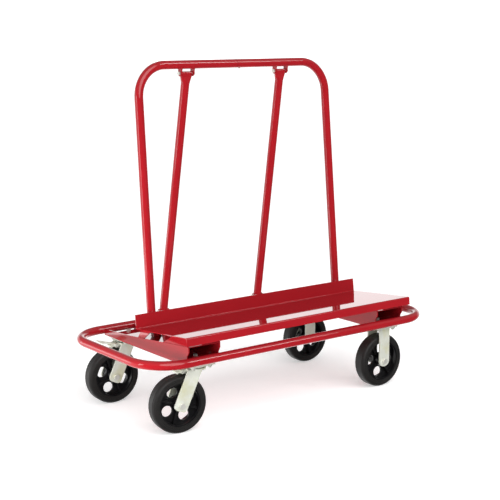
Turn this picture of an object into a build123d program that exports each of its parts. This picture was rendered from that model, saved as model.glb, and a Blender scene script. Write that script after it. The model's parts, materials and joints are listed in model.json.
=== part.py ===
"""Sheet-material cart: a folded deck on two cross channels inside a tube bumper ring, an inverted-U
upright with two back braces, two braked swivel casters at the left end and two rigid ones at the right.

Millimetres. +X runs along the cart towards the rigid casters, -Y is the loading side, +Z is up and the
origin is on the floor under the middle of the bumper ring.
"""

from math import atan2, cos, degrees, hypot, radians, sin
import os

from build123d import *

# ---- tube ----
TUBE_R = 31.75 / 2
TUBE_BORE_R = TUBE_R - 2.0

# ---- bumper ring, to the tube's centreline ----
RING_LENGTH = 1272.0
RING_WIDTH = 574.0
RING_CORNER_R = 133.0
RING_Z = 260.0
RING_INNER_Y = RING_WIDTH / 2 - TUBE_R

# ---- casters ----
CASTER_HEIGHT = 241.3
WHEEL_R = 101.6
WHEEL_WIDTH = 50.8
CASTER_Y = 220.0
CASTER_X = 427.0
TRAIL = 66.7
FRONT_CASTER_TURN = -8.0
REAR_CASTER_TURN = -3.0
AXLE_DROP = CASTER_HEIGHT - WHEEL_R

# ---- cross channels (bolsters) ----
BOLSTER_X = CASTER_X
BOLSTER_WIDTH = 131.0
BOLSTER_T = 4.0
BOLSTER_BEND_R = 6.0
LID_T = 3.0
LID_DROP = 1.0
LID_END_GAP = 2.0
WEB_NOSE_Z = 276.5
WEB_SHOULDER_Z = 293.0
WEB_FRONT_Y = -281.0
WEB_FRONT_TOP = 313.0
WEB_BEND_Y = 128.0
WEB_BEND_TOP = 274.0
WEB_BACK_TOP = 266.0
WEB_SLOPE = (WEB_FRONT_TOP - WEB_BEND_TOP) / (WEB_BEND_Y - WEB_FRONT_Y)

# ---- gussets between the channels and the deck, with the Y of their back and front corners ----
SUPPORT_T = 4.0
BACK_GUSSET_TOP = (12.0, -54.0)
BACK_GUSSET_FOOT = (35.0, -5.0)
FRONT_GUSSET_TOP = (-195.0, -279.0)
FRONT_GUSSET_FOOT = (-127.0, -279.0)

# ---- deck: one folded sheet, given by the upper face of its two bends ----
DECK_HALF_LENGTH = 511.0
DECK_T = 3.0
DECK_BACK_Y = 15.0
DECK_BACK_Z = 320.3
DECK_FRONT_Y = -298.6
DECK_FRONT_Z = 350.0
DECK_BACK_FLANGE = 49.0
DECK_FRONT_FLANGE = 29.5
DECK_BACK_LEAN = 2.3
DECK_BEND_R = 2.0
DECK_TILT = atan2(DECK_FRONT_Z - DECK_BACK_Z, DECK_BACK_Y - DECK_FRONT_Y)

# ---- upright ----
UPRIGHT_TOP_Z = 1229.3
UPRIGHT_TOP_Y = 114.7
UPRIGHT_LEAN = 0.085
UPRIGHT_HALF = 425.2
UPRIGHT_SPLAY = 0.008
UPRIGHT_CORNER_R = 113.0
LEG_JOG_TOP_Z = 312.0
LEG_JOG_BOTTOM_Z = 272.0
LEG_FOOT_Y = -8.0
LEG_JOG_R = 30.0
LEG_SLOT_CLEARANCE = 0.8
LEG_SLOT_STRETCH = 25.0
LEG_PLUG_T = 14.0
TOP_JOINT_GAP = 1.6
FERRULE_LENGTH = 120.0
FERRULE_T = 2.5
FERRULE_SCREW_X = 17.0
SCREW_R = 2.1
SCREW_HOLE_R = 2.2
SCREW_HEAD_R = 4.2
SCREW_HEAD_T = 3.0
SCREW_LENGTH = 7.0
SCREW_CLEARANCE = 0.2

# ---- braces ----
BRACE_TOP_X = 215.0
BRACE_FOOT_X = 226.0
BRACE_TOP_Z = 1205.0
BRACE_TOP_Y = 120.0
BRACE_FOOT_Y = 284.0
BRACE_FOOT_Z = 281.0
BRACE_FLAT_WIDTH = 48.0
BRACE_FLAT_T = 14.0
BRACE_FLAT_LENGTH = 18.0
BRACE_CRUSH_LENGTH = 24.0
BRACE_CREASE = 0.5
BRACE_FOOT_HOLE = 12.0
BRACE_BOLT_R = 4.0
BRACE_HOLE_R = BRACE_BOLT_R + 0.1
BRACE_BOLT_AF = 13.0
BRACE_HEAD_T = 5.6
BRACE_NUT_T = 7.0
BRACE_BOLT_TAIL = 8.0
EAR_T = 4.0
EAR_WIDTH = 22.0
EAR_REACH = 28.0
EAR_OVERLAP = 6.0
EAR_TOP_GAP = 0.6
EAR_FOOT_GAP = 0.5

# ---- fasteners ----
MOUNT_BOLT_R = 5.0
MOUNT_BOLT_DX = 33.35
MOUNT_BOLT_DY = 42.9
MOUNT_NUT_AF = 16.0
MOUNT_NUT_T = 7.5
MOUNT_HEAD_T = 6.0
MOUNT_BOLT_TAIL = 4.0
HOLE_CLEARANCE = 0.3
CONTACT = 0.02

# ---- caster details, measured down from the top of the mounting plate ----
PLATE_X = 102.0
PLATE_Y = 114.0
PLATE_T = 6.35
PLATE_CORNER_R = 9.0
RACE_BOTTOM = 12.0
RACE_R = 38.0
RACE_BORE_R = 21.0
LIP_BORE_R = 35.0
LIP_DROP = 3.4
BALL_R = 3.0
BALL_CIRCLE_R = 30.0
BALL_COUNT = 18
SWIVEL_GAP = 0.3
CROWN_TOP = RACE_BOTTOM + 2 * BALL_R + SWIVEL_GAP
CROWN_T = 6.0
CROWN_R = 40.0
KINGPIN_R = 8.0
KINGPIN_TAIL = 3.0
KING_NUT_AF = 26.0
KING_NUT_T = 9.0
LEG_GAP = 61.0
LEG_T = 5.5
SWIVEL_LEG_WIDTH = 50.0
RIGID_LEG_WIDTH = 49.0
LEG_END_REACH = 20.0
SWIVEL_LEG_END_R = 15.0
RIGID_LEG_END_R = 22.0
RAKE_TOP_X = -13.0
AXLE_R = 6.35
AXLE_HOLE_R = AXLE_R + 0.15
AXLE_HEAD_AF = 19.0
AXLE_HEAD_T = 8.0
AXLE_NUT_T = 10.0
BUSHING_R = 9.0
BEARING_R = 15.0
RUN_CLEARANCE = 0.05

# ---- wheels ----
RIM_R = 76.2
RIM_INNER_R = 71.0
RIM_WIDTH = 46.0
HUB_R = 21.0
HUB_WIDTH = 55.0
WEB_T = 7.0
WINDOW_R = 19.5
WINDOW_CIRCLE_R = 46.5
WINDOW_TURN = {"swivel_front": 18.0, "swivel_rear": -22.0, "rigid_front": -38.0, "rigid_rear": -13.0}
RIB_T = 7.0
RIB_WIDTH = 30.0
TYRE_SHOULDER_R = 11.0
TREAD_WIDTH = 30.0
TREAD_RISE = 1.0

# ---- brake, from the swivel axis and the top of the plate ----
BRAKE_PIVOT_X = -54.0
BRAKE_PIVOT_DROP = 26.0
BRAKE_PIN_R = 3.0
BRAKE_RIVET_R = 5.0
BRAKE_RIVET_T = 2.0
BRAKE_HUB_R = 6.0
BRAKE_HUB_WIDTH = 30.0
BRAKE_SIDE_GAP = 0.5
BRAKE_EAR_T = 4.0
BRAKE_EAR_R = 7.0
BRAKE_EAR_ROOT_X = -30.0
BRAKE_SHOE_R = 4.0
BRAKE_SHOE_X = -72.0
BRAKE_SHOE_DROP = 29.2
PEDAL_TIP_X = -118.0
PEDAL_TIP_DROP = 6.0
PEDAL_ARM_T = 5.0
PEDAL_ARM_HALF = 4.0
PEDAL_ARM_Y = 11.0
PEDAL_PAD = 20.0
PEDAL_PAD_T = 4.0


# ---------------------------------------------------------------- helpers
def save(name, shape):
    """Write one node."""
    export_step(shape, f"parts/{name}.step")


def rod_x(radius, x0, x1, y, z):
    """A round bar along X from x0 to x1."""
    return Pos((x0 + x1) / 2, y, z) * Rot(0, 90, 0) * Cylinder(radius, abs(x1 - x0))


def rod_y(radius, y0, y1, x, z):
    """A round bar along Y from y0 to y1."""
    return Pos(x, (y0 + y1) / 2, z) * Rot(90, 0, 0) * Cylinder(radius, abs(y1 - y0))


def rod_z(radius, z0, z1, x, y):
    """A round bar along Z from z0 to z1."""
    return Pos(x, y, (z0 + z1) / 2) * Cylinder(radius, abs(z1 - z0))


def hexagon(across_flats, thickness):
    """A hex nut or bolt head centred on the origin, axis Z, its outer corners turned off."""
    body = extrude(RegularPolygon(across_flats / 2, 6, major_radius=False), thickness / 2, both=True)
    turned = Cylinder(across_flats * 0.565, thickness)
    turned = chamfer(turned.edges().filter_by(GeomType.CIRCLE), thickness * 0.14)
    return body & turned


def tube_along(path, outer, bore):
    """A tube swept along a path of straight runs and tangent arcs."""
    section = Plane(origin=path @ 0, z_dir=path % 0)
    return sweep(section * (Circle(outer) - Circle(bore)), path=path)


def slab_x(points, x0, x1):
    """A plate of the given (y, z) outline between two X positions."""
    low, high = min(x0, x1), max(x0, x1)
    return Pos(low, 0, 0) * extrude(Plane.YZ * Polygon(*points, align=None), high - low, dir=(1, 0, 0))


def slab_y(points, y0, y1):
    """A plate of the given (x, z) outline between two Y positions."""
    low, high = min(y0, y1), max(y0, y1)
    return Pos(0, low, 0) * extrude(Plane.XZ * Polygon(*points, align=None), high - low, dir=(0, 1, 0))


def web_top(y):
    """Height of a bolster web's top edge."""
    if y > WEB_BEND_Y:
        run = RING_INNER_Y - WEB_BEND_Y
        return WEB_BEND_TOP + (WEB_BACK_TOP - WEB_BEND_TOP) * (y - WEB_BEND_Y) / run
    return WEB_BEND_TOP + WEB_SLOPE * (WEB_BEND_Y - y)


def deck_under(y):
    """Height of the deck's underside."""
    rise = (DECK_BACK_Y - y) * (DECK_FRONT_Z - DECK_BACK_Z) / (DECK_BACK_Y - DECK_FRONT_Y)
    return DECK_BACK_Z + rise - DECK_T / cos(DECK_TILT)


def leg_x(z):
    """Distance of a leg's centreline from the middle plane."""
    return UPRIGHT_HALF + UPRIGHT_SPLAY * (UPRIGHT_TOP_Z - z)


def leg_y(z):
    """Depth of a leg's centreline."""
    return UPRIGHT_TOP_Y - UPRIGHT_LEAN * (UPRIGHT_TOP_Z - z)


# ---------------------------------------------------------------- base
def base_ring():
    """The bumper: one tube bent to a rounded rectangle."""
    outline = RectangleRounded(RING_LENGTH, RING_WIDTH, RING_CORNER_R)
    path = (Pos(0, 0, RING_Z) * outline).wires()[0]
    return tube_along(path, TUBE_R, TUBE_BORE_R)


def mount_points(side):
    """Centres of the mounting bolts under one end of the cart."""
    spots = []
    for cy in (-CASTER_Y, CASTER_Y):
        for dx in (-MOUNT_BOLT_DX, MOUNT_BOLT_DX):
            for dy in (-MOUNT_BOLT_DY, MOUNT_BOLT_DY):
                spots.append((side * CASTER_X + dx, cy + dy))
    return spots


def rounded_underneath(width, length, floor_z, radius):
    """A tall block standing on floor_z whose two long lower edges are rounded."""
    block = Pos(0, 0, floor_z + BOLSTER_WIDTH / 2) * Box(width, length, BOLSTER_WIDTH)
    return fillet(block.edges().filter_by(Axis.Y).group_by(Axis.Z)[0], radius)


def bolster(side):
    """A bent channel, open at the top, whose webs rise towards the loading side."""
    end = RING_INNER_Y - CONTACT
    half = BOLSTER_WIDTH / 2
    outside = rounded_underneath(BOLSTER_WIDTH, RING_WIDTH, CASTER_HEIGHT, BOLSTER_BEND_R)
    inside = rounded_underneath(
        BOLSTER_WIDTH - 2 * BOLSTER_T, RING_WIDTH, CASTER_HEIGHT + BOLSTER_T, BOLSTER_BEND_R - BOLSTER_T
    )
    profile = [
        (-end, CASTER_HEIGHT),
        (-end, WEB_NOSE_Z),
        (WEB_FRONT_Y, WEB_SHOULDER_Z),
        (WEB_FRONT_Y, WEB_FRONT_TOP),
        (WEB_BEND_Y, WEB_BEND_TOP),
        (end, WEB_BACK_TOP),
        (end, CASTER_HEIGHT),
    ]
    shape = Pos(side * BOLSTER_X, 0, 0) * ((outside - inside) & slab_x(profile, -half, half))
    foot = (side * leg_x(LEG_JOG_BOTTOM_Z), LEG_FOOT_Y)
    for x, y in mount_points(side) + [foot]:
        shape -= rod_z(MOUNT_BOLT_R + HOLE_CLEARANCE, CASTER_HEIGHT, CASTER_HEIGHT + BOLSTER_T, x, y)
    return shape


def bolster_lid(side):
    """The cover plate let in between the webs, under the deck; the channel stays open behind it."""
    front, back = WEB_FRONT_Y + LID_END_GAP, WEB_BEND_Y
    upper = [(y, web_top(y) - LID_DROP) for y in (front, back)]
    lower = [(y, z - LID_T) for y, z in reversed(upper)]
    half = BOLSTER_WIDTH / 2 - BOLSTER_T - CONTACT
    plate = Pos(side * BOLSTER_X, 0, 0) * slab_x(upper + lower, -half, half)
    slot = SlotCenterToCenter(LEG_SLOT_STRETCH, 2 * (TUBE_R + LEG_SLOT_CLEARANCE), rotation=90)
    foot = Pos(side * leg_x(LEG_JOG_BOTTOM_Z), LEG_FOOT_Y + LEG_SLOT_STRETCH / 2, CASTER_HEIGHT)
    return plate - extrude(foot * slot, WEB_FRONT_TOP - CASTER_HEIGHT)


def deck():
    """The folded sheet: back flange up, front flange down, both square to the tilted deck."""
    up = (sin(DECK_TILT), cos(DECK_TILT))
    lean = radians(DECK_BACK_LEAN)
    back_up = (
        up[0] * cos(lean) + cos(DECK_TILT) * sin(lean),
        up[1] * cos(lean) - sin(DECK_TILT) * sin(lean),
    )
    bends = [(DECK_BACK_Y, DECK_BACK_Z), (DECK_FRONT_Y, DECK_FRONT_Z)]
    line = [
        (bends[0][0] + back_up[0] * DECK_BACK_FLANGE, bends[0][1] + back_up[1] * DECK_BACK_FLANGE),
        bends[0],
        bends[1],
        (bends[1][0] - up[0] * DECK_FRONT_FLANGE, bends[1][1] - up[1] * DECK_FRONT_FLANGE),
    ]
    inner = offset_line(line, DECK_T)
    section = Plane.YZ * Polygon(*(line + inner[::-1]), align=None)
    sheet = extrude(section, DECK_HALF_LENGTH, both=True)
    radii = [
        (line[1], DECK_BEND_R),
        (inner[1], DECK_BEND_R + DECK_T),
        (line[2], DECK_BEND_R + DECK_T),
        (inner[2], DECK_BEND_R),
    ]
    for (y, z), radius in radii:
        edge = sheet.edges().filter_by(Axis.X).sort_by_distance((0, y, z))[0]
        sheet = fillet(edge, radius)
    return sheet


def offset_line(line, distance):
    """The polyline moved sideways to the left of its direction, mitred at its bends."""
    moved = []
    for i, point in enumerate(line):
        normals = []
        for a, b in ((i - 1, i), (i, i + 1)):
            if 0 <= a and b < len(line):
                dy, dz = line[b][0] - line[a][0], line[b][1] - line[a][1]
                normals.append((-dz / hypot(dy, dz), dy / hypot(dy, dz)))
        ny = sum(n[0] for n in normals) / len(normals)
        nz = sum(n[1] for n in normals) / len(normals)
        scale = distance / (ny * ny + nz * nz)
        moved.append((point[0] + ny * scale, point[1] + nz * scale))
    return moved


def deck_supports(side):
    """Between channel and deck: a front and a back gusset standing on each web."""
    pieces = []
    for top, foot in ((FRONT_GUSSET_TOP, FRONT_GUSSET_FOOT), (BACK_GUSSET_TOP, BACK_GUSSET_FOOT)):
        outline = [(y, deck_under(y) - CONTACT) for y in top]
        outline += [(y, web_top(y) + CONTACT) for y in reversed(foot)]
        for hand in (-1, 1):
            web = hand * BOLSTER_WIDTH / 2
            plate = slab_x(outline, web, web - hand * SUPPORT_T)
            pieces.append(Pos(side * BOLSTER_X, 0, 0) * plate)
    return Compound(children=pieces)


# ---------------------------------------------------------------- upright and braces
def upright(side):
    """One bent half of the inverted U, from its jogged foot to the joint in the top tube."""
    foot_x = side * leg_x(LEG_JOG_BOTTOM_Z)
    jog = LEG_JOG_TOP_Z
    points = [
        (foot_x, LEG_FOOT_Y, CASTER_HEIGHT + BOLSTER_T + CONTACT),
        (foot_x, LEG_FOOT_Y, LEG_JOG_BOTTOM_Z),
        (side * leg_x(jog), leg_y(jog), jog),
        (side * leg_x(UPRIGHT_TOP_Z), UPRIGHT_TOP_Y, UPRIGHT_TOP_Z),
        (side * TOP_JOINT_GAP / 2, UPRIGHT_TOP_Y, UPRIGHT_TOP_Z),
    ]
    path = FilletPolyline(*points, radius=[LEG_JOG_R, LEG_JOG_R, UPRIGHT_CORNER_R])
    half = tube_along(path.wires()[0], TUBE_R, TUBE_BORE_R)
    if side > 0:
        half -= screw_hole()
    return half


def screw_hole():
    """The hole up through the underside of the top joint."""
    return rod_z(SCREW_HOLE_R, UPRIGHT_TOP_Z - 2 * TUBE_R, UPRIGHT_TOP_Z, FERRULE_SCREW_X, UPRIGHT_TOP_Y)


def upright_ferrule():
    """The sleeve inside the top joint, welded in the left half and screwed in the right."""
    half = FERRULE_LENGTH / 2
    sleeve = rod_x(TUBE_BORE_R - CONTACT, -half, half, UPRIGHT_TOP_Y, UPRIGHT_TOP_Z)
    sleeve -= rod_x(TUBE_BORE_R - FERRULE_T, -half, half, UPRIGHT_TOP_Y, UPRIGHT_TOP_Z)
    return sleeve - screw_hole()


def ferrule_screw():
    """Pan-head screw up through the underside of the top joint."""
    under = UPRIGHT_TOP_Z - TUBE_R - SCREW_CLEARANCE
    shank = rod_z(SCREW_R, under, under + SCREW_LENGTH, FERRULE_SCREW_X, UPRIGHT_TOP_Y)
    head = rod_z(SCREW_HEAD_R, under - SCREW_HEAD_T, under, FERRULE_SCREW_X, UPRIGHT_TOP_Y)
    return shank + fillet(head.edges().group_by(Axis.Z)[0], SCREW_HEAD_T * 0.4)


def leg_plugs():
    """The threaded plugs welded in the feet of the legs."""
    z0 = CASTER_HEIGHT + BOLSTER_T + CONTACT
    plugs = []
    for side in (-1, 1):
        x = side * leg_x(LEG_JOG_BOTTOM_Z)
        plug = rod_z(TUBE_BORE_R - CONTACT, z0, z0 + LEG_PLUG_T, x, LEG_FOOT_Y)
        plugs.append(plug - rod_z(MOUNT_BOLT_R, z0, z0 + LEG_PLUG_T, x, LEG_FOOT_Y))
    return Compound(children=plugs)


def leg_foot_bolts():
    """A bolt up through each channel floor into the leg's plug."""
    bolts = []
    top = CASTER_HEIGHT + BOLSTER_T + LEG_PLUG_T
    for side in (-1, 1):
        x = side * leg_x(LEG_JOG_BOTTOM_Z)
        head = Pos(x, LEG_FOOT_Y, CASTER_HEIGHT - CONTACT - MOUNT_HEAD_T / 2)
        bolt = head * hexagon(MOUNT_NUT_AF, MOUNT_HEAD_T)
        bolts.append(bolt + rod_z(MOUNT_BOLT_R - CONTACT, CASTER_HEIGHT - CONTACT, top, x, LEG_FOOT_Y))
    return Compound(children=bolts)


# ---------------------------------------------------------------- braces
def brace_line(side):
    """Foot and top of a brace's centreline, and its length."""
    foot = Vector(side * BRACE_FOOT_X, BRACE_FOOT_Y, BRACE_FOOT_Z)
    top = Vector(side * BRACE_TOP_X, BRACE_TOP_Y, BRACE_TOP_Z)
    return foot, top, (top - foot).length


def brace_frame(side):
    """A plane at the brace's foot, its z along the tube and its x nearly along the cart."""
    foot, top, _ = brace_line(side)
    along = (top - foot).normalized()
    across = Vector(1, 0, 0) - along * along.X
    return Plane(origin=foot, x_dir=across.normalized(), z_dir=along)


def brace_bolt_place(side, at_top):
    """The centre of the bolt at one end of a brace, in the brace's own frame."""
    _, _, length = brace_line(side)
    reach = length - BRACE_FLAT_T / 2 if at_top else BRACE_FOOT_HOLE
    return brace_frame(side) * Pos(0, 0, reach)


def brace_half_width(at_top):
    """Distance from a brace's middle plane to the inner face of its ears."""
    return BRACE_FLAT_WIDTH / 2 + EAR_TOP_GAP if at_top else TUBE_R + EAR_FOOT_GAP


def cross_rod(radius, length):
    """A round bar along the X of the plane it is placed in."""
    return Rot(0, 90, 0) * Cylinder(radius, length)


def brace(side):
    """A tube crushed flat at its top, with a cross hole at each end."""
    frame = brace_frame(side)
    _, _, length = brace_line(side)
    flat_start = length - BRACE_FLAT_LENGTH
    round_end = flat_start - BRACE_CRUSH_LENGTH
    flat_end = length - BRACE_FLAT_T / 2
    tube = Pos(0, 0, round_end / 2) * (Cylinder(TUBE_R, round_end) - Cylinder(TUBE_BORE_R, round_end))
    nearly_round = SlotOverall(2 * TUBE_R + BRACE_CREASE, 2 * TUBE_R)
    loop = SlotOverall(BRACE_FLAT_WIDTH, BRACE_FLAT_T)
    crush = loft([Pos(0, 0, round_end) * nearly_round, Pos(0, 0, flat_start) * loop], ruled=True)
    flat = Pos(0, 0, flat_start) * extrude(loop, flat_end - flat_start)
    rounding = Pos(0, 0, flat_end) * cross_rod(BRACE_FLAT_T / 2, BRACE_FLAT_WIDTH)
    end_slot = Pos(0, 0, flat_start) * extrude(loop, BRACE_FLAT_LENGTH)
    shape = frame * (tube + crush + flat + (rounding & end_slot))
    for at_top in (False, True):
        shape -= brace_bolt_place(side, at_top) * cross_rod(BRACE_HOLE_R, 2 * BRACE_FLAT_WIDTH)
    return shape


def ears(side, at_top):
    """The pair of welded ears that takes one end of a brace."""
    bolt = brace_bolt_place(side, at_top)
    inside = brace_half_width(at_top)
    toward = 1 if at_top else -1
    if at_top:
        tube_y, tube_z = UPRIGHT_TOP_Y, UPRIGHT_TOP_Z
    else:
        tube_y, tube_z = RING_WIDTH / 2, RING_Z
    tube = rod_x(TUBE_R + CONTACT, -RING_LENGTH / 2, RING_LENGTH / 2, tube_y, tube_z)
    past_z = tube_z + toward * (EAR_REACH - EAR_OVERLAP)
    past = Pos(0, tube_y, past_z) * Box(RING_LENGTH, RING_WIDTH, 2 * EAR_REACH)
    pieces = []
    for end in (-1, 1):
        middle = end * (inside + EAR_T / 2)
        plate = bolt * Pos(middle, 0, 0) * cross_rod(EAR_WIDTH / 2, EAR_T)
        plate += bolt * Pos(middle, 0, toward * EAR_REACH / 2) * Box(EAR_T, EAR_WIDTH, EAR_REACH)
        plate -= tube + past
        plate -= bolt * cross_rod(BRACE_HOLE_R, 2 * BRACE_FLAT_WIDTH + 4 * EAR_T)
        pieces.append(plate.solids().sort_by(SortBy.VOLUME)[-1])
    return Compound(children=pieces)


def brace_bolts(at_top):
    """A bolt and nut through each pair of ears, heads to the left."""
    face = brace_half_width(at_top) + EAR_T + CONTACT
    tail = face + BRACE_BOLT_TAIL
    pieces = []
    for side in (-1, 1):
        axis = brace_bolt_place(side, at_top) * Rot(0, 90, 0)
        shank = Pos(0, 0, (tail - face) / 2) * Cylinder(BRACE_BOLT_R, tail + face)
        head = Pos(0, 0, -face - BRACE_HEAD_T / 2) * hexagon(BRACE_BOLT_AF, BRACE_HEAD_T)
        nut = hexagon(BRACE_BOLT_AF, BRACE_NUT_T) - Cylinder(BRACE_BOLT_R + CONTACT, BRACE_NUT_T)
        pieces += [axis * (shank + head), axis * Pos(0, 0, face + BRACE_NUT_T / 2) * nut]
    return Compound(children=pieces)


# ---------------------------------------------------------------- casters
def plate_blank():
    """The mounting plate with its four bolt holes."""
    plate = Pos(0, 0, -PLATE_T / 2 - CONTACT) * Box(PLATE_X, PLATE_Y, PLATE_T)
    plate = fillet(plate.edges().filter_by(Axis.Z), PLATE_CORNER_R)
    for dx in (-MOUNT_BOLT_DX, MOUNT_BOLT_DX):
        for dy in (-MOUNT_BOLT_DY, MOUNT_BOLT_DY):
            plate -= rod_z(MOUNT_BOLT_R + HOLE_CLEARANCE, -2 * PLATE_T, 0, dx, dy)
    return plate


def swivel_plate():
    """The mounting plate with the stamped upper race and its dust lip under it."""
    race = rod_z(RACE_R, -RACE_BOTTOM, -PLATE_T, 0, 0) - rod_z(RACE_BORE_R, -RACE_BOTTOM, -PLATE_T, 0, 0)
    lip_bottom = -RACE_BOTTOM - LIP_DROP
    lip = rod_z(RACE_R, lip_bottom, -RACE_BOTTOM, 0, 0) - rod_z(LIP_BORE_R, lip_bottom, -RACE_BOTTOM, 0, 0)
    plate = plate_blank() + race + lip
    return plate - rod_z(KINGPIN_R + CONTACT, lip_bottom, 0, 0, 0)


def kingpin():
    """The king bolt: its head is let into the plate and its nut holds the fork up."""
    nut_top = -(CROWN_TOP + CROWN_T + SWIVEL_GAP)
    pin = rod_z(KINGPIN_R, nut_top - KING_NUT_T - KINGPIN_TAIL, -HOLE_CLEARANCE, 0, 0)
    return pin + Pos(0, 0, nut_top - KING_NUT_T / 2) * hexagon(KING_NUT_AF, KING_NUT_T)


def ball_ring():
    """The balls between the upper and the lower race."""
    z = -RACE_BOTTOM - BALL_R - CONTACT
    balls = []
    for i in range(BALL_COUNT):
        angle = radians(360 / BALL_COUNT * i)
        place = Pos(BALL_CIRCLE_R * cos(angle), BALL_CIRCLE_R * sin(angle), z)
        balls.append(place * Sphere(BALL_R - CONTACT))
    return Compound(children=balls)


def fork_leg(hand, top_x, foot_x, top_z, width, end_r):
    """One fork leg: a plate with rounded corners just past the axle."""
    inner = hand * LEG_GAP / 2
    outer = hand * (LEG_GAP / 2 + LEG_T)
    drop = AXLE_DROP - top_z
    tilt = atan2(foot_x - top_x, drop)
    along = (sin(tilt), -cos(tilt))
    half = width / 2
    end = (foot_x + along[0] * LEG_END_REACH, -AXLE_DROP + along[1] * LEG_END_REACH)
    across = (half * cos(tilt), half * sin(tilt))
    corners = [(end[0] + k * across[0], end[1] + k * across[1]) for k in (1, -1)]
    top = [(top_x + k * half / cos(tilt), -top_z) for k in (-1, 1)]
    leg = slab_y(top + corners, inner, outer)
    for x, z in corners:
        edge = leg.edges().filter_by(Axis.Y).sort_by_distance((x, inner, z))[0]
        leg = fillet(edge, end_r)
    return leg - rod_y(AXLE_HOLE_R, inner, outer, foot_x, -AXLE_DROP)


def swivel_fork():
    """Crown with its bore, two raked legs and the ears that carry the brake pin."""
    mid = -(CROWN_TOP + CROWN_T / 2)
    crown = Pos(0, 0, mid) * Cylinder(CROWN_R, CROWN_T)
    span = LEG_GAP + 2 * LEG_T
    rake = atan2(TRAIL + RAKE_TOP_X, AXLE_DROP - CROWN_TOP)
    crown += Pos(RAKE_TOP_X, 0, mid) * Box(SWIVEL_LEG_WIDTH / cos(rake), span, CROWN_T)
    ear = [
        (BRAKE_EAR_ROOT_X, -CROWN_TOP),
        (BRAKE_PIVOT_X, -BRAKE_PIVOT_DROP + BRAKE_EAR_R),
        (BRAKE_PIVOT_X, -BRAKE_PIVOT_DROP - BRAKE_EAR_R),
        (BRAKE_EAR_ROOT_X, -CROWN_TOP - CROWN_T),
    ]
    for hand in (-1, 1):
        crown += fork_leg(hand, RAKE_TOP_X, -TRAIL, CROWN_TOP, SWIVEL_LEG_WIDTH, SWIVEL_LEG_END_R)
        y0 = hand * (BRAKE_HUB_WIDTH / 2 + BRAKE_SIDE_GAP)
        y1 = y0 + hand * BRAKE_EAR_T
        crown += slab_y(ear, y0, y1) + rod_y(BRAKE_EAR_R, y0, y1, BRAKE_PIVOT_X, -BRAKE_PIVOT_DROP)
    crown -= rod_z(KINGPIN_R + RUN_CLEARANCE, -2 * CROWN_TOP, 0, 0, 0)
    return crown - rod_y(BRAKE_PIN_R + CONTACT, -span, span, BRAKE_PIVOT_X, -BRAKE_PIVOT_DROP)


def rigid_fork():
    """The mounting plate with two upright legs welded under it."""
    fork = plate_blank()
    for hand in (-1, 1):
        fork += fork_leg(hand, 0, 0, PLATE_T, RIGID_LEG_WIDTH, RIGID_LEG_END_R)
    return fork


def brake_pin():
    """The riveted pin that the brake pedal turns on."""
    half = BRAKE_HUB_WIDTH / 2 + BRAKE_SIDE_GAP + BRAKE_EAR_T + CONTACT
    end = half + BRAKE_RIVET_T
    pin = rod_y(BRAKE_PIN_R, -end, end, BRAKE_PIVOT_X, -BRAKE_PIVOT_DROP)
    for hand in (-1, 1):
        pin += rod_y(BRAKE_RIVET_R, hand * half, hand * end, BRAKE_PIVOT_X, -BRAKE_PIVOT_DROP)
    return pin


def brake_pedal():
    """A hub on the pin, a rounded shoe over the tyre and two arms out to a toe pad."""
    x0, z0 = BRAKE_PIVOT_X, -BRAKE_PIVOT_DROP
    half = BRAKE_HUB_WIDTH / 2
    pedal = rod_y(BRAKE_HUB_R, -half, half, x0, z0)
    pedal += rod_y(BRAKE_SHOE_R, -half, half, BRAKE_SHOE_X, -BRAKE_SHOE_DROP)
    neck = [
        (x0, z0 + BRAKE_SHOE_R),
        (BRAKE_SHOE_X, -BRAKE_SHOE_DROP + BRAKE_SHOE_R),
        (BRAKE_SHOE_X, -BRAKE_SHOE_DROP - 1),
        (x0, z0 - BRAKE_SHOE_R),
    ]
    pedal += slab_y(neck, -half, half)
    arm = [
        (x0, z0 + PEDAL_ARM_T),
        (PEDAL_TIP_X, -PEDAL_TIP_DROP + PEDAL_ARM_T / 2),
        (PEDAL_TIP_X, -PEDAL_TIP_DROP - PEDAL_ARM_T / 2),
        (x0, z0),
    ]
    for hand in (-1, 1):
        pedal += slab_y(arm, hand * (PEDAL_ARM_Y - PEDAL_ARM_HALF), hand * (PEDAL_ARM_Y + PEDAL_ARM_HALF))
    slope = degrees(atan2(BRAKE_PIVOT_DROP - PEDAL_TIP_DROP, x0 - PEDAL_TIP_X))
    pad = Box(PEDAL_PAD, 2 * (PEDAL_ARM_Y + 2 * PEDAL_ARM_HALF), PEDAL_PAD_T)
    pad = fillet(pad.edges().filter_by(Axis.Z), PEDAL_PAD_T)
    pedal += Pos(PEDAL_TIP_X + PEDAL_PAD_T, 0, -PEDAL_TIP_DROP - PEDAL_PAD_T / 2) * Rot(0, slope, 0) * pad
    return pedal - rod_y(BRAKE_PIN_R + RUN_CLEARANCE, -BRAKE_HUB_WIDTH, BRAKE_HUB_WIDTH, x0, z0)


def mount_bolts(x, y):
    """Four bolts down through the channel floor and the plate, each with a nut below."""
    nut_top = -PLATE_T - 2 * CONTACT
    tip = nut_top - MOUNT_NUT_T - MOUNT_BOLT_TAIL
    bolt = Pos(0, 0, BOLSTER_T + CONTACT + MOUNT_HEAD_T / 2) * hexagon(MOUNT_NUT_AF, MOUNT_HEAD_T)
    bolt += rod_z(MOUNT_BOLT_R, tip, BOLSTER_T + MOUNT_HEAD_T / 2, 0, 0)
    nut = Pos(0, 0, nut_top - MOUNT_NUT_T / 2) * hexagon(MOUNT_NUT_AF, MOUNT_NUT_T)
    nut -= rod_z(MOUNT_BOLT_R + CONTACT, tip, 0, 0, 0)
    pieces = []
    for dx in (-MOUNT_BOLT_DX, MOUNT_BOLT_DX):
        for dy in (-MOUNT_BOLT_DY, MOUNT_BOLT_DY):
            spot = Pos(x + dx, y + dy, CASTER_HEIGHT)
            pieces += [spot * bolt, spot * nut]
    return Compound(children=pieces)


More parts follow.
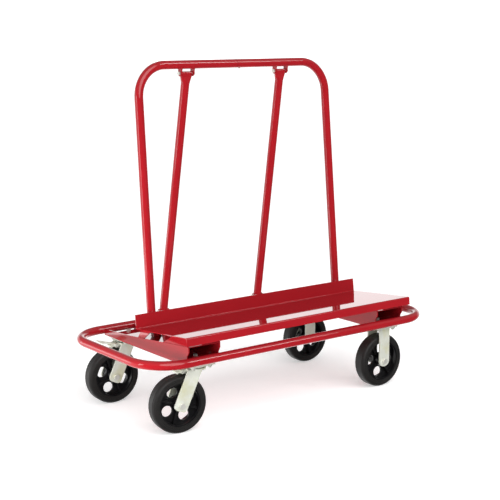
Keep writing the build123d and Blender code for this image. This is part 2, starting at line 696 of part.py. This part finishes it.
def axle():
    """The axle bolt, head to the loading side, with its lock nut."""
    face = LEG_GAP / 2 + LEG_T + CONTACT
    bolt = rod_y(AXLE_R, -face - 1, face + AXLE_NUT_T + 2, 0, 0)
    bolt += Pos(0, -face - AXLE_HEAD_T / 2, 0) * Rot(90, 0, 0) * hexagon(AXLE_HEAD_AF, AXLE_HEAD_T)
    nut = Pos(0, face + AXLE_NUT_T / 2, 0) * Rot(90, 0, 0) * hexagon(AXLE_HEAD_AF, AXLE_NUT_T)
    return Compound(children=[bolt, nut - rod_y(AXLE_R + CONTACT, face, face + AXLE_NUT_T, 0, 0)])


def bushing():
    """The spacer clamped between the legs, which the bearing runs on."""
    half = LEG_GAP / 2 - CONTACT
    return rod_y(BUSHING_R, -half, half, 0, 0) - rod_y(AXLE_R + CONTACT, -half, half, 0, 0)


def bearing():
    """The roller bearing sleeve pressed in the hub."""
    half = HUB_WIDTH / 2
    return rod_y(BEARING_R, -half, half, 0, 0) - rod_y(BUSHING_R + RUN_CLEARANCE, -half, half, 0, 0)


def wheel_centre():
    """Cast centre: rim, web with four round windows, ribs between them and hub."""
    half = RIM_WIDTH / 2
    rim = rod_y(RIM_R, -half, half, 0, 0) - rod_y(RIM_INNER_R, -half, half, 0, 0)
    web = rod_y(RIM_INNER_R + 1, -WEB_T / 2, WEB_T / 2, 0, 0)
    span = 2 * RIM_INNER_R + 2
    ribs = Box(span, RIB_WIDTH, RIB_T) + Box(RIB_T, RIB_WIDTH, span)
    hub = rod_y(HUB_R, -HUB_WIDTH / 2, HUB_WIDTH / 2, 0, 0)
    centre = rim + web + ribs + hub
    for i in range(4):
        angle = radians(45 + 90 * i)
        centre -= rod_y(WINDOW_R, -half, half, WINDOW_CIRCLE_R * cos(angle), WINDOW_CIRCLE_R * sin(angle))
    return centre - rod_y(BEARING_R + CONTACT / 2, -HUB_WIDTH, HUB_WIDTH, 0, 0)


def tyre():
    """The moulded-on rubber: round shoulders and a slightly raised tread band."""
    half = WHEEL_WIDTH / 2
    shoulder = rod_y(WHEEL_R - TREAD_RISE, -half, half, 0, 0)
    shoulder = fillet(shoulder.edges().filter_by(GeomType.CIRCLE), TYRE_SHOULDER_R)
    tread = rod_y(WHEEL_R, -TREAD_WIDTH / 2, TREAD_WIDTH / 2, 0, 0)
    tread = chamfer(tread.edges().filter_by(GeomType.CIRCLE), TREAD_RISE / 2)
    return shoulder + tread - rod_y(RIM_R + CONTACT / 2, -half, half, 0, 0)


def save_wheel(name, where):
    """The parts that turn on one axle, and the axle itself."""
    save(f"wheel_centre_{name}", where * Rot(0, WINDOW_TURN[name], 0) * wheel_centre())
    save(f"tyre_{name}", where * tyre())
    save(f"bearing_{name}", where * bearing())
    save(f"bushing_{name}", where * bushing())
    save(f"axle_{name}", where * axle())


# ---------------------------------------------------------------- build
os.makedirs("parts", exist_ok=True)

save("base_ring", base_ring())
save("deck", deck())
for side, end in ((-1, "left"), (1, "right")):
    save(f"bolster_{end}", bolster(side))
    save(f"bolster_lid_{end}", bolster_lid(side))
    save(f"deck_supports_{end}", deck_supports(side))
    save(f"upright_{end}", upright(side))
    save(f"brace_{end}", brace(side))
    save(f"brace_top_ears_{end}", ears(side, True))
    save(f"brace_foot_ears_{end}", ears(side, False))
save("leg_plugs", leg_plugs())
save("leg_foot_bolts", leg_foot_bolts())
save("upright_ferrule", upright_ferrule())
save("ferrule_screw", ferrule_screw())
save("brace_top_bolts", brace_bolts(True))
save("brace_foot_bolts", brace_bolts(False))

for row, y, turn in (("front", -CASTER_Y, FRONT_CASTER_TURN), ("rear", CASTER_Y, REAR_CASTER_TURN)):
    name = f"swivel_{row}"
    fixed = Pos(-CASTER_X, y, CASTER_HEIGHT)
    turned = fixed * Rot(0, 0, turn)
    save(f"plate_{name}", fixed * swivel_plate())
    save(f"kingpin_{name}", fixed * kingpin())
    save(f"balls_{name}", fixed * ball_ring())
    save(f"fork_{name}", turned * swivel_fork())
    save(f"brake_pin_{name}", turned * brake_pin())
    save(f"brake_pedal_{name}", turned * brake_pedal())
    save(f"mount_bolts_{name}", mount_bolts(-CASTER_X, y))
    save_wheel(name, turned * Pos(-TRAIL, 0, -AXLE_DROP))

    name = f"rigid_{row}"
    save(f"fork_{name}", Pos(CASTER_X, y, CASTER_HEIGHT) * rigid_fork())
    save(f"mount_bolts_{name}", mount_bolts(CASTER_X, y))
    save_wheel(name, Pos(CASTER_X, y, WHEEL_R))
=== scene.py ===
"""Looks of the sheet-material cart: paint, plating, cast iron and rubber, the small shapes that the
frame leaves out, and the studio it stands in. Metres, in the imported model's own frame."""

import json
import math

import bmesh
import bpy
from mathutils import Matrix, Vector


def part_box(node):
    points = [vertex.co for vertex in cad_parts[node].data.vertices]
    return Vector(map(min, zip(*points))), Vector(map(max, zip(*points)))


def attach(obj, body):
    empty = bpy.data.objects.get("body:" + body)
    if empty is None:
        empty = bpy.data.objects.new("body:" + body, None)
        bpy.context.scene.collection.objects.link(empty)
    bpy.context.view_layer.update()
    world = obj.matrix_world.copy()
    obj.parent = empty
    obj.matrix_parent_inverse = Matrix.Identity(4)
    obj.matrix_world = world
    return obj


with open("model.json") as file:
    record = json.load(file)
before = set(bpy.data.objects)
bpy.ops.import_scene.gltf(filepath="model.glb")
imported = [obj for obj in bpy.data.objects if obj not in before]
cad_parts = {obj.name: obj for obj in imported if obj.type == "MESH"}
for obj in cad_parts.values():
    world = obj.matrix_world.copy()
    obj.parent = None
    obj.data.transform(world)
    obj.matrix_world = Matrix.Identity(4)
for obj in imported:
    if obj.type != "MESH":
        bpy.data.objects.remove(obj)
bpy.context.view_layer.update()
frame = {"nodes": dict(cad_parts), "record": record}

# ---- camera: angles in degrees, lens and sensor in millimetres ----
CAMERA_PLACE = (-2.6529, -3.4858, 1.3503)
CAMERA_AZIMUTH = -37.043
CAMERA_DROP = 10.408
CAMERA_ROLL = -0.212
CAMERA_LENS = 86.26
SENSOR = 36.0

# ---- lamps and floor: spread in degrees, power in watts ----
FLOOR_HALF = 40.0
FLOOR_GLOW = 0.4
KEY_SUN = {"place": (-0.2, -1.0, 0.75), "strength": 2.3, "spread": 60.0}
GLINT_SUN = {"place": (0.6, -0.74, 0.56), "strength": 0.4, "spread": 14.0}
STRIP_LEFT = {"place": (-3.7, 0.35, 0.8), "aim": (0, 0.05, 0.8), "size": (0.75, 1.6), "power": 20.0}
FILL_LEFT = {"place": (-1.9, -0.3, 0.22), "aim": (-0.45, 0, 0.28), "size": (1.1, 0.35), "power": 17.0}
CARD_LEFT = {"place": (-1.6, 1.35, 0.1), "aim": (-0.45, 0, 0.28), "size": (1.0, 0.5), "power": 4.0}

# ---- room: brightness of its sides, and where along a unit direction each one fades in or out ----
ROOM_DARK = 0.05
ROOM_BRIGHT = 1.15
ROOM_FAR_END = 1.5
ROOM_CEILING = 0.38
BACK_WALL_EDGE = (-0.15, 0.6)
FAR_END_EDGE = (-0.3, 0.5)
WALL_TOP_EDGE = (0.12, 0.35)
CEILING_EDGE = (0.1, 0.5)

# ---- weld beads: spreads are degrees to each side of a bead's middle ----
WELD_R = 0.0020
WELD_SIDES = 8
WELD_STEP = 0.0006
WELD_LEAST_STEPS = 6
WELD_RIPPLE = 0.0026
WELD_VALLEY = 0.78
WELD_END = 0.4
WEB_WELD_SPREAD = 32
EAR_WELD_SPREAD = 38

# ---- threads: each top is a height above the bolt's tip ----
THREAD_DEPTH = 0.0004
THREAD_PITCH = 0.0012
THREAD_STEPS = 20
THREAD_SIDES = 4
THREAD_END = 0.3
MOUNT_THREAD_TOP = 0.0037
MOUNT_THREAD_LENGTH = 0.0034
KINGPIN_THREAD_TOP = 0.0028
KINGPIN_THREAD_LENGTH = 0.0025

# ---- moulded circles on the tyre walls ----
MOULD_LINE_R = 0.0006
MOULD_LINE_STEPS = 96
MOULD_LINE_SIDES = 6
MOULD_LINES = (0.0800, 0.0868)

# ---- the cart's own sizes that those shapes follow; pairs are Y and Z ----
TUBE_R = 0.015875
RING_Y = 0.287
RING_Z = 0.260
TOP_TUBE = (0.1147, 1.2293)
BOLSTER_X = 0.427
BOLSTER_HALF = 0.0655
WEB_FRONT = (-0.281, 0.313)
WEB_BEND = (0.128, 0.274)
WEB_SLOPE = (WEB_FRONT[1] - WEB_BEND[1]) / (WEB_BEND[0] - WEB_FRONT[0])
GUSSET_FEET = ((-0.277, -0.127), (-0.005, 0.035))
CASTER_TURN = {"front": -8.0, "rear": -3.0}
MOUNT_DX = 0.03335
MOUNT_DY = 0.0429
MOUNT_BOLT_R = 0.005
KINGPIN_R = 0.008
TYRE_HALF = 0.0254
SWIVELS = ("swivel_front", "swivel_rear")
WHEELS = SWIVELS + ("rigid_front", "rigid_rear")

DOWN = Vector((0, 0, -1))
# No path runs along this direction, so crossing a path with it always gives a side.
OFF_AXIS = Vector((0.31, 0.47, 0.83))


# ---------------------------------------------------------------- shader helpers
class Graph:
    """A material's node tree, with short calls for the nodes that the finishes share."""

    def __init__(self, name):
        self.material = bpy.data.materials.new(name)
        self.material.use_nodes = True
        self.tree = self.material.node_tree
        self.shader = self.tree.nodes["Principled BSDF"]
        self.place = self.tree.nodes.new("ShaderNodeTexCoord").outputs["Object"]

    def node(self, kind, **inputs):
        """Adds a node and fills its inputs by name, with _ for a space."""
        made = self.tree.nodes.new("ShaderNode" + kind)
        for key, value in inputs.items():
            self.put(made.inputs[key.replace("_", " ")], value)
        return made

    def put(self, socket, value):
        """Links an output to an input, or sets the input to a constant."""
        if isinstance(value, bpy.types.NodeSocket):
            self.tree.links.new(value, socket)
        else:
            socket.default_value = value

    def noise(self, scale, detail=4.0, stretch=(1, 1, 1), roughness=0.5):
        """A noise from 0 to 1 over the object's own place."""
        mapping = self.node("Mapping", Vector=self.place, Scale=stretch)
        made = self.node("TexNoise", Vector=mapping.outputs[0], Scale=scale, Detail=detail)
        made.inputs["Roughness"].default_value = roughness
        return made.outputs["Fac"]

    def ramp(self, value, low, high, to_low=0.0, to_high=1.0):
        """Maps the span low to high onto to_low to to_high, and stops at its ends."""
        made = self.node("MapRange", Value=value)
        for key, number in zip(("From Min", "From Max", "To Min", "To Max"), (low, high, to_low, to_high)):
            made.inputs[key].default_value = number
        return made.outputs["Result"]

    def blend(self, share, a, b):
        """A colour between a and b."""
        made = self.tree.nodes.new("ShaderNodeMix")
        made.data_type = "RGBA"
        self.put(made.inputs["Factor"], share)
        self.put(made.inputs["A"], a)
        self.put(made.inputs["B"], b)
        return made.outputs["Result"]

    def multiply(self, a, b):
        """The product of two numbers."""
        made = self.tree.nodes.new("ShaderNodeMath")
        made.operation = "MULTIPLY"
        self.put(made.inputs[0], a)
        self.put(made.inputs[1], b)
        return made.outputs[0]

    def bump(self, height, strength, distance):
        """Roughens the shader's normal by a height."""
        made = self.node("Bump", Strength=strength, Distance=distance, Height=height)
        self.put(self.shader.inputs["Normal"], made.outputs[0])

    def set(self, **inputs):
        """Fills the shader's own inputs by name, with _ for a space."""
        for key, value in inputs.items():
            self.put(self.shader.inputs[key.replace("_", " ")], value)


def red_paint():
    """Glossy powder coat: faint orange peel, slow colour drift and a few dull scuffs."""
    g = Graph("red_paint")
    drift = g.noise(scale=5.0, detail=3.0)
    scuffs = g.ramp(g.noise(scale=38.0, detail=6.0, stretch=(1, 1, 3), roughness=0.7), low=0.62, high=0.72)
    colour = g.blend(drift, (0.30, 0.008, 0.013, 1), (0.37, 0.011, 0.017, 1))
    colour = g.blend(g.multiply(scuffs, 0.15), colour, (0.30, 0.02, 0.02, 1))
    peel = g.noise(scale=260.0, detail=2.0)
    dulled = g.ramp(scuffs, low=0, high=1, to_low=0.42, to_high=0.55)
    g.set(Base_Color=colour, Roughness=dulled, Specular_IOR_Level=0.0)
    g.set(Coat_Weight=1.0, Coat_Roughness=0.03, Coat_IOR=1.5)
    g.bump(peel, strength=0.02, distance=0.0004)
    return g.material


def zinc_plate():
    """Passivated zinc on pressed steel: cloudy grey with yellow-green patches, fine rolling marks."""
    g = Graph("zinc_plate")
    cloud = g.noise(scale=24.0, detail=5.0, roughness=0.6)
    tint = g.noise(scale=16.0, detail=4.0, roughness=0.6)
    colour = g.blend(cloud, (0.60, 0.62, 0.53, 1), (0.86, 0.88, 0.80, 1))
    patches = g.ramp(tint, low=0.46, high=0.66, to_low=0.0, to_high=0.6)
    colour = g.blend(patches, colour, (0.62, 0.61, 0.34, 1))
    marks = g.noise(scale=420.0, detail=3.0, stretch=(1, 1, 0.15))
    satin = g.ramp(cloud, low=0.2, high=0.8, to_low=0.34, to_high=0.55)
    g.set(Base_Color=colour, Metallic=0.35, Roughness=satin)
    g.bump(marks, strength=0.12, distance=0.0004)
    return g.material


def fastener_zinc():
    """Bright zinc on bolts and nuts."""
    g = Graph("fastener_zinc")
    cloud = g.noise(scale=90.0, detail=4.0)
    colour = g.blend(cloud, (0.55, 0.55, 0.50, 1), (0.80, 0.80, 0.74, 1))
    shine = g.ramp(cloud, low=0.2, high=0.8, to_low=0.28, to_high=0.45)
    g.set(Base_Color=colour, Metallic=0.5, Roughness=shine)
    g.bump(g.noise(scale=700.0, detail=2.0), strength=0.08, distance=0.0003)
    return g.material


def bearing_steel():
    """Ground steel with a film of grease."""
    g = Graph("bearing_steel")
    film = g.noise(scale=60.0, detail=4.0)
    colour = g.blend(film, (0.28, 0.27, 0.24, 1), (0.52, 0.52, 0.50, 1))
    shine = g.ramp(film, low=0.2, high=0.8, to_low=0.22, to_high=0.4)
    g.set(Base_Color=colour, Metallic=0.95, Roughness=shine)
    g.bump(g.noise(scale=900.0, detail=2.0), strength=0.05, distance=0.0002)
    return g.material


def plain_steel():
    """Bare mild steel with mill scale."""
    g = Graph("plain_steel")
    scale = g.noise(scale=70.0, detail=5.0)
    colour = g.blend(scale, (0.14, 0.13, 0.13, 1), (0.34, 0.32, 0.30, 1))
    satin = g.ramp(scale, low=0.2, high=0.8, to_low=0.4, to_high=0.65)
    g.set(Base_Color=colour, Metallic=0.8, Roughness=satin)
    g.bump(scale, strength=0.1, distance=0.0004)
    return g.material


def cast_black():
    """Black paint over sand-cast iron: pebbled skin, slightly dusty."""
    g = Graph("cast_black")
    dust = g.noise(scale=30.0, detail=5.0)
    dusty = g.ramp(dust, low=0.4, high=0.8)
    colour = g.blend(dusty, (0.003, 0.003, 0.004, 1), (0.012, 0.011, 0.011, 1))
    skin = g.noise(scale=480.0, detail=4.0)
    satin = g.ramp(dust, low=0.2, high=0.8, to_low=0.30, to_high=0.45)
    g.set(Base_Color=colour, Roughness=satin, Specular_IOR_Level=0.35)
    g.bump(skin, strength=0.3, distance=0.0006)
    return g.material


def tread_rubber():
    """Moulded black rubber with a grey bloom."""
    g = Graph("tread_rubber")
    bloom = g.noise(scale=18.0, detail=5.0)
    colour = g.blend(bloom, (0.006, 0.006, 0.006, 1), (0.018, 0.016, 0.015, 1))
    satin = g.ramp(bloom, low=0.2, high=0.8, to_low=0.45, to_high=0.62)
    g.set(Base_Color=colour, Roughness=satin, Specular_IOR_Level=0.35)
    g.bump(g.noise(scale=520.0, detail=3.0), strength=0.15, distance=0.0004)
    return g.material


FINISHES = {
    "red_paint": red_paint(),
    "zinc_plate": zinc_plate(),
    "fastener_zinc": fastener_zinc(),
    "bearing_steel": bearing_steel(),
    "plain_steel": plain_steel(),
    "cast_black": cast_black(),
    "tread_rubber": tread_rubber(),
}


def finish_nodes():
    """Gives every CAD node the finish of its slot."""
    for row in frame["record"]["subparts"]:
        node = frame["nodes"][row["node"]]
        node.data.materials.clear()
        node.data.materials.append(FINISHES[row["material_slot"]])


# ---------------------------------------------------------------- small shapes
def cross_directions(along):
    """Two directions square to each other and to the one given."""
    side = along.cross(OFF_AXIS).normalized()
    return side, along.cross(side).normalized()


def sweep_round(mesh, path, radii, sides, closed=False):
    """Adds a round bar along a path, with its own radius at every point."""
    loops = []
    last = len(path) - 1
    for i, centre in enumerate(path):
        before = path[i - 1] if i or closed else centre
        after = path[(i + 1) % len(path)] if i < last or closed else centre
        side, other = cross_directions((after - before).normalized())
        loop = []
        for k in range(sides):
            angle = math.tau * k / sides
            spoke = side * math.cos(angle) + other * math.sin(angle)
            loop.append(mesh.verts.new(centre + spoke * radii[i]))
        loops.append(loop)
    pairs = list(zip(loops, loops[1:]))
    if closed:
        pairs.append((loops[-1], loops[0]))
    else:
        mesh.faces.new(loops[0][::-1])
        mesh.faces.new(loops[-1])
    for a, b in pairs:
        for k in range(sides):
            n = (k + 1) % sides
            mesh.faces.new((a[k], a[n], b[n], b[k]))


def piece(name, mesh, slot, body):
    """Turns a finished bmesh into a piece that rides on a body."""
    bmesh.ops.recalc_face_normals(mesh, faces=mesh.faces[:])
    data = bpy.data.meshes.new(name)
    mesh.to_mesh(data)
    mesh.free()
    data.shade_smooth()
    data.materials.append(FINISHES[slot])
    made = bpy.data.objects.new(name, data)
    bpy.context.scene.collection.objects.link(made)
    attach(made, body)


def bead(mesh, path_of, length):
    """Adds a weld bead with its ripples; path_of gives the place for a share of the length."""
    count = max(WELD_LEAST_STEPS, round(length / WELD_STEP))
    path = [path_of(i / count) for i in range(count + 1)]
    radii = []
    for i in range(count + 1):
        ripple = abs(math.sin(math.pi * i * WELD_STEP / WELD_RIPPLE))
        radii.append(WELD_R * (WELD_VALLEY + (1 - WELD_VALLEY) * ripple))
    radii[0] = radii[-1] = WELD_R * WELD_END
    sweep_round(mesh, path, radii, WELD_SIDES)


def tube_arc(x, centre, middle, spread):
    """A path round a tube that runs along X, spread degrees to each side of the middle angle."""
    def path_of(share):
        angle = math.radians(middle - spread + 2 * spread * share)
        y = centre[0] + TUBE_R * math.cos(angle)
        return Vector((x, y, centre[1] + TUBE_R * math.sin(angle)))
    return path_of


def gusset_foot(x, front, back):
    """A path along a web's top edge."""
    def path_of(share):
        y = front + (back - front) * share
        return Vector((x, y, WEB_BEND[1] + WEB_SLOPE * (WEB_BEND[0] - y)))
    return path_of


def frame_welds(end, side):
    """The beads at one end of the cart: webs to ring, gussets to webs, ears to tubes."""
    mesh = bmesh.new()
    for hand in (-1, 1):
        x = side * BOLSTER_X + hand * BOLSTER_HALF
        for y, inward in ((-RING_Y, 0), (RING_Y, 180)):
            bead(mesh, tube_arc(x, (y, RING_Z), inward, WEB_WELD_SPREAD), TUBE_R)
        for front, back in GUSSET_FEET:
            bead(mesh, gusset_foot(x, front, back), back - front)
    for ears, centre, middle in (("top", TOP_TUBE, 270), ("foot", (RING_Y, RING_Z), 90)):
        low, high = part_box(f"brace_{ears}_ears_{end}")
        for x in (low[0], high[0]):
            bead(mesh, tube_arc(x, centre, middle, EAR_WELD_SPREAD), TUBE_R)
    piece(f"welds_{end}", mesh, "red_paint", "frame")


def thread(mesh, top, length, radius):
    """Adds the ridge of a screw thread that winds down a bolt's end."""
    side, other = cross_directions(DOWN)
    turns = length / THREAD_PITCH
    count = round(turns * THREAD_STEPS)
    path = []
    for i in range(count + 1):
        angle = math.tau * turns * i / count
        spoke = side * math.cos(angle) + other * math.sin(angle)
        path.append(top + DOWN * (length * i / count) + spoke * radius)
    radii = [THREAD_DEPTH] * (count + 1)
    radii[0] = radii[-1] = THREAD_DEPTH * THREAD_END
    sweep_round(mesh, path, radii, THREAD_SIDES)


def lowest_middle(node):
    """The middle of a node's box in plan, at its lowest height."""
    low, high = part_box(node)
    return Vector(((low[0] + high[0]) / 2, (low[1] + high[1]) / 2, low[2]))


def frame_threads():
    """Threads below the nuts of the caster plates and of the king bolts."""
    mesh = bmesh.new()
    for name in WHEELS:
        tip = lowest_middle(f"mount_bolts_{name}")
        for dx in (-MOUNT_DX, MOUNT_DX):
            for dy in (-MOUNT_DY, MOUNT_DY):
                top = tip + Vector((dx, dy, MOUNT_THREAD_TOP))
                thread(mesh, top, MOUNT_THREAD_LENGTH, MOUNT_BOLT_R)
    piece("threads_mount_bolts", mesh, "fastener_zinc", "frame")
    mesh = bmesh.new()
    for name in SWIVELS:
        top = lowest_middle(f"kingpin_{name}") + Vector((0, 0, KINGPIN_THREAD_TOP))
        thread(mesh, top, KINGPIN_THREAD_LENGTH, KINGPIN_R)
    piece("threads_king_bolts", mesh, "zinc_plate", "frame")


def mould_lines(name):
    """Fine raised circles on both side walls of a tyre."""
    low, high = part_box(f"tyre_{name}")
    centre = (Vector(low) + Vector(high)) / 2
    row = name.split("_")[1]
    turn = math.radians(CASTER_TURN[row]) if name in SWIVELS else 0.0
    axle = Vector((-math.sin(turn), math.cos(turn), 0))
    forward = Vector((math.cos(turn), math.sin(turn), 0))
    mesh = bmesh.new()
    for hand in (-1, 1):
        for radius in MOULD_LINES:
            path = []
            for i in range(MOULD_LINE_STEPS):
                angle = math.tau * i / MOULD_LINE_STEPS
                spoke = forward * math.cos(angle) + Vector((0, 0, math.sin(angle)))
                path.append(centre + axle * (hand * TYRE_HALF) + spoke * radius)
            radii = [MOULD_LINE_R] * MOULD_LINE_STEPS
            sweep_round(mesh, path, radii, MOULD_LINE_SIDES, closed=True)
    piece(f"mould_lines_{name}", mesh, "tread_rubber", f"wheel_{name}")


# ---------------------------------------------------------------- studio
def paper():
    """Near-white paper with a faint grain."""
    g = Graph("paper")
    grain = g.noise(scale=3.0, detail=2.0)
    g.set(Base_Color=g.blend(grain, (0.86, 0.86, 0.86, 1), (0.88, 0.88, 0.88, 1)), Roughness=0.95)
    g.set(Specular_IOR_Level=0.0, Emission_Color=(1, 1, 1, 1), Emission_Strength=FLOOR_GLOW)
    g.bump(grain, strength=0.02, distance=0.001)
    return g.material


def floor():
    """A large sheet of paper, which the paint doesn't mirror."""
    mesh = bmesh.new()
    bmesh.ops.create_grid(mesh, x_segments=4, y_segments=4, size=FLOOR_HALF)
    data = bpy.data.meshes.new("floor")
    mesh.to_mesh(data)
    mesh.free()
    data.materials.append(paper())
    sheet = bpy.data.objects.new("floor", data)
    sheet.visible_glossy = False
    bpy.context.scene.collection.objects.link(sheet)


def hang(name, light, place, aim):
    """Puts a lamp in the studio, turned towards the aim point, and returns it."""
    lamp = bpy.data.objects.new(name, light)
    lamp.location = place
    lamp.rotation_euler = (Vector(aim) - Vector(place)).to_track_quat("-Z", "Y").to_euler()
    bpy.context.scene.collection.objects.link(lamp)
    return lamp


def soft_box(name, place, aim, size, power):
    """A rectangular soft box that faces the aim point."""
    light = bpy.data.lights.new(name, "AREA")
    light.shape = "RECTANGLE"
    light.size, light.size_y = size
    light.energy = power
    return hang(name, light, place, aim)


def wide_sun(name, place, strength, spread):
    """Even light from one side of the studio, as through a large diffuser."""
    light = bpy.data.lights.new(name, "SUN")
    light.energy = strength
    light.angle = math.radians(spread)
    hang(name, light, place, (0, 0, 0))


def room():
    """White walls behind the cart and at its far end, a dark studio behind the camera."""
    world = bpy.data.worlds.new("studio")
    bpy.context.scene.world = world
    world.use_nodes = True
    tree = world.node_tree
    sky = tree.nodes["Background"]
    sky.inputs["Color"].default_value = (1, 1, 1, 1)
    where = tree.nodes.new("ShaderNodeTexCoord").outputs["Generated"]
    axes = tree.nodes.new("ShaderNodeSeparateXYZ")
    tree.links.new(where, axes.inputs[0])

    def slope(axis, edge, to_low, to_high):
        """A brightness that changes smoothly across an edge of the room."""
        made = tree.nodes.new("ShaderNodeMapRange")
        made.interpolation_type = "SMOOTHSTEP"
        tree.links.new(axes.outputs[axis], made.inputs["Value"])
        for key, number in zip(("From Min", "From Max", "To Min", "To Max"), (*edge, to_low, to_high)):
            made.inputs[key].default_value = number
        return made.outputs["Result"]

    def join(kind, a, b):
        """Joins two brightnesses by one sum, product or maximum."""
        made = tree.nodes.new("ShaderNodeMath")
        made.operation = kind
        tree.links.new(a, made.inputs[0])
        tree.links.new(b, made.inputs[1])
        return made.outputs[0]

    back_wall = slope("Y", BACK_WALL_EDGE, ROOM_DARK, ROOM_BRIGHT)
    far_end = slope("X", FAR_END_EDGE, 1.0, ROOM_FAR_END)
    walls = join("MULTIPLY", back_wall, far_end)
    below_top = join("MULTIPLY", walls, slope("Z", WALL_TOP_EDGE, 1.0, 0.0))
    light = join("ADD", below_top, slope("Z", CEILING_EDGE, 0.0, ROOM_CEILING))
    seen = tree.nodes.new("ShaderNodeLightPath").outputs["Is Camera Ray"]
    tree.links.new(join("MAXIMUM", light, seen), sky.inputs["Strength"])


def studio():
    """The room, two suns, a strip that draws the streak down the legs, and two low cards."""
    room()
    wide_sun("key", **KEY_SUN)
    wide_sun("glint", **GLINT_SUN)
    soft_box("strip_left", **STRIP_LEFT)
    fill = soft_box("fill_left", **FILL_LEFT)
    fill.visible_glossy = False
    card = soft_box("card_left", **CARD_LEFT)
    card.visible_diffuse = False
    for lamp in (fill, card):
        lamp.visible_camera = False
    bpy.context.scene.view_settings.view_transform = "Standard"


def camera():
    """The camera: turned to its azimuth, tipped down by its drop, then rolled."""
    data = bpy.data.cameras.new("camera")
    data.lens = CAMERA_LENS
    data.sensor_width = SENSOR
    eye = bpy.data.objects.new("camera", data)
    swing = Matrix.Rotation(math.radians(CAMERA_AZIMUTH), 4, "Z")
    nod = Matrix.Rotation(math.radians(90 - CAMERA_DROP), 4, "X")
    roll = Matrix.Rotation(math.radians(CAMERA_ROLL), 4, "Z")
    eye.matrix_world = Matrix.Translation(CAMERA_PLACE) @ swing @ nod @ roll
    bpy.context.scene.collection.objects.link(eye)
    bpy.context.scene.camera = eye


finish_nodes()
frame_welds("left", -1)
frame_welds("right", 1)
frame_threads()
for wheel in WHEELS:
    mould_lines(wheel)
floor()
studio()
camera()
